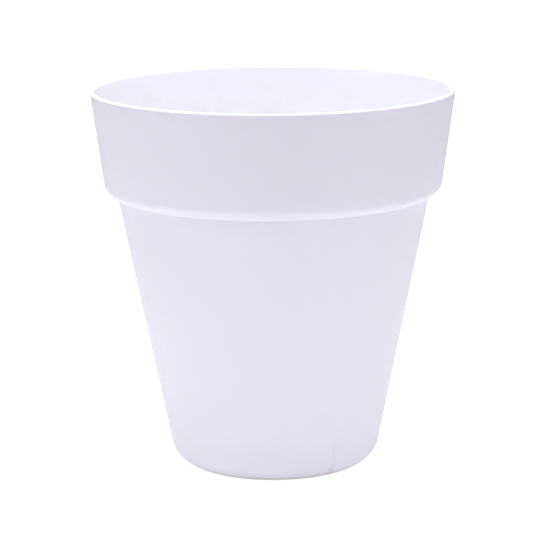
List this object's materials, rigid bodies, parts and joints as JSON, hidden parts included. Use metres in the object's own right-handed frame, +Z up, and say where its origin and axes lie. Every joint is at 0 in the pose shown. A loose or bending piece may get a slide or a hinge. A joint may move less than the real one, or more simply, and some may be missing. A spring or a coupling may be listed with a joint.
{
  "type": "self watering planter",
  "caption": "Round tapered plastic planter with a tall rim band, a lift-out perforated platform over a water reserve, a lidded fill tube, a float gauge and an overflow standpipe.",
  "frame": {"origin": "centre of the pot on the surface it stands on", "axes": "+Z up along the pot's axis; -Y is the front, beside which the fill tube and the gauge stand"},
  "size_m": [0.3993, 0.3992, 0.418],
  "materials": {
    "shell_plastic": "satin, fine moulded grain",
    "kit_plastic": "matte",
    "tube_plastic": "satin",
    "lid_plastic": "satin",
    "fitting_plastic": "matte",
    "steel": "drawn stainless",
    "float_plastic": "closed-cell foam",
    "pointer_plastic": "gloss",
    "clear_plastic": "clear, lightly scuffed",
    "scale_plastic": "printed strip",
    "rubber": "matte"
  },
  "bodies": {
    "pot": {"planter_shell": "shell_plastic", "overflow_standpipe": "fitting_plastic", "standpipe_washer": "rubber", "standpipe_locknut": "fitting_plastic", "overflow_strainer": "fitting_plastic"},
    "kit": {"reservoir_platform": "kit_plastic", "wicking_foot_1": "kit_plastic", "wicking_foot_2": "kit_plastic", "wicking_foot_3": "kit_plastic", "fill_tube": "tube_plastic", "fill_funnel": "lid_plastic", "lid_hinge_pin": "steel", "float_cage": "kit_plastic", "gauge_tube": "tube_plastic", "rod_guide": "lid_plastic", "gauge_window": "clear_plastic", "gauge_scale": "scale_plastic", "gauge_cap": "lid_plastic"},
    "lid": {"fill_lid": "lid_plastic"},
    "float": {"gauge_float": "float_plastic", "gauge_rod": "steel", "gauge_pointer": "pointer_plastic"}
  },
  "joints": [
    {"name": "kit_lift", "type": "slide", "parent": "pot", "child": "kit", "axis": [0, 0, 1], "range_m": [0, 0.42]},
    {"name": "lid_hinge", "type": "hinge", "parent": "kit", "child": "lid", "pos_m": [0.051, -0.11933, 0.38755], "axis": [1, 0, 0], "range_deg": [0, 110]},
    {"name": "float_travel", "type": "slide", "parent": "kit", "child": "float", "axis": [0, 0, 1], "range_m": [0, 0.05]}
  ]
}
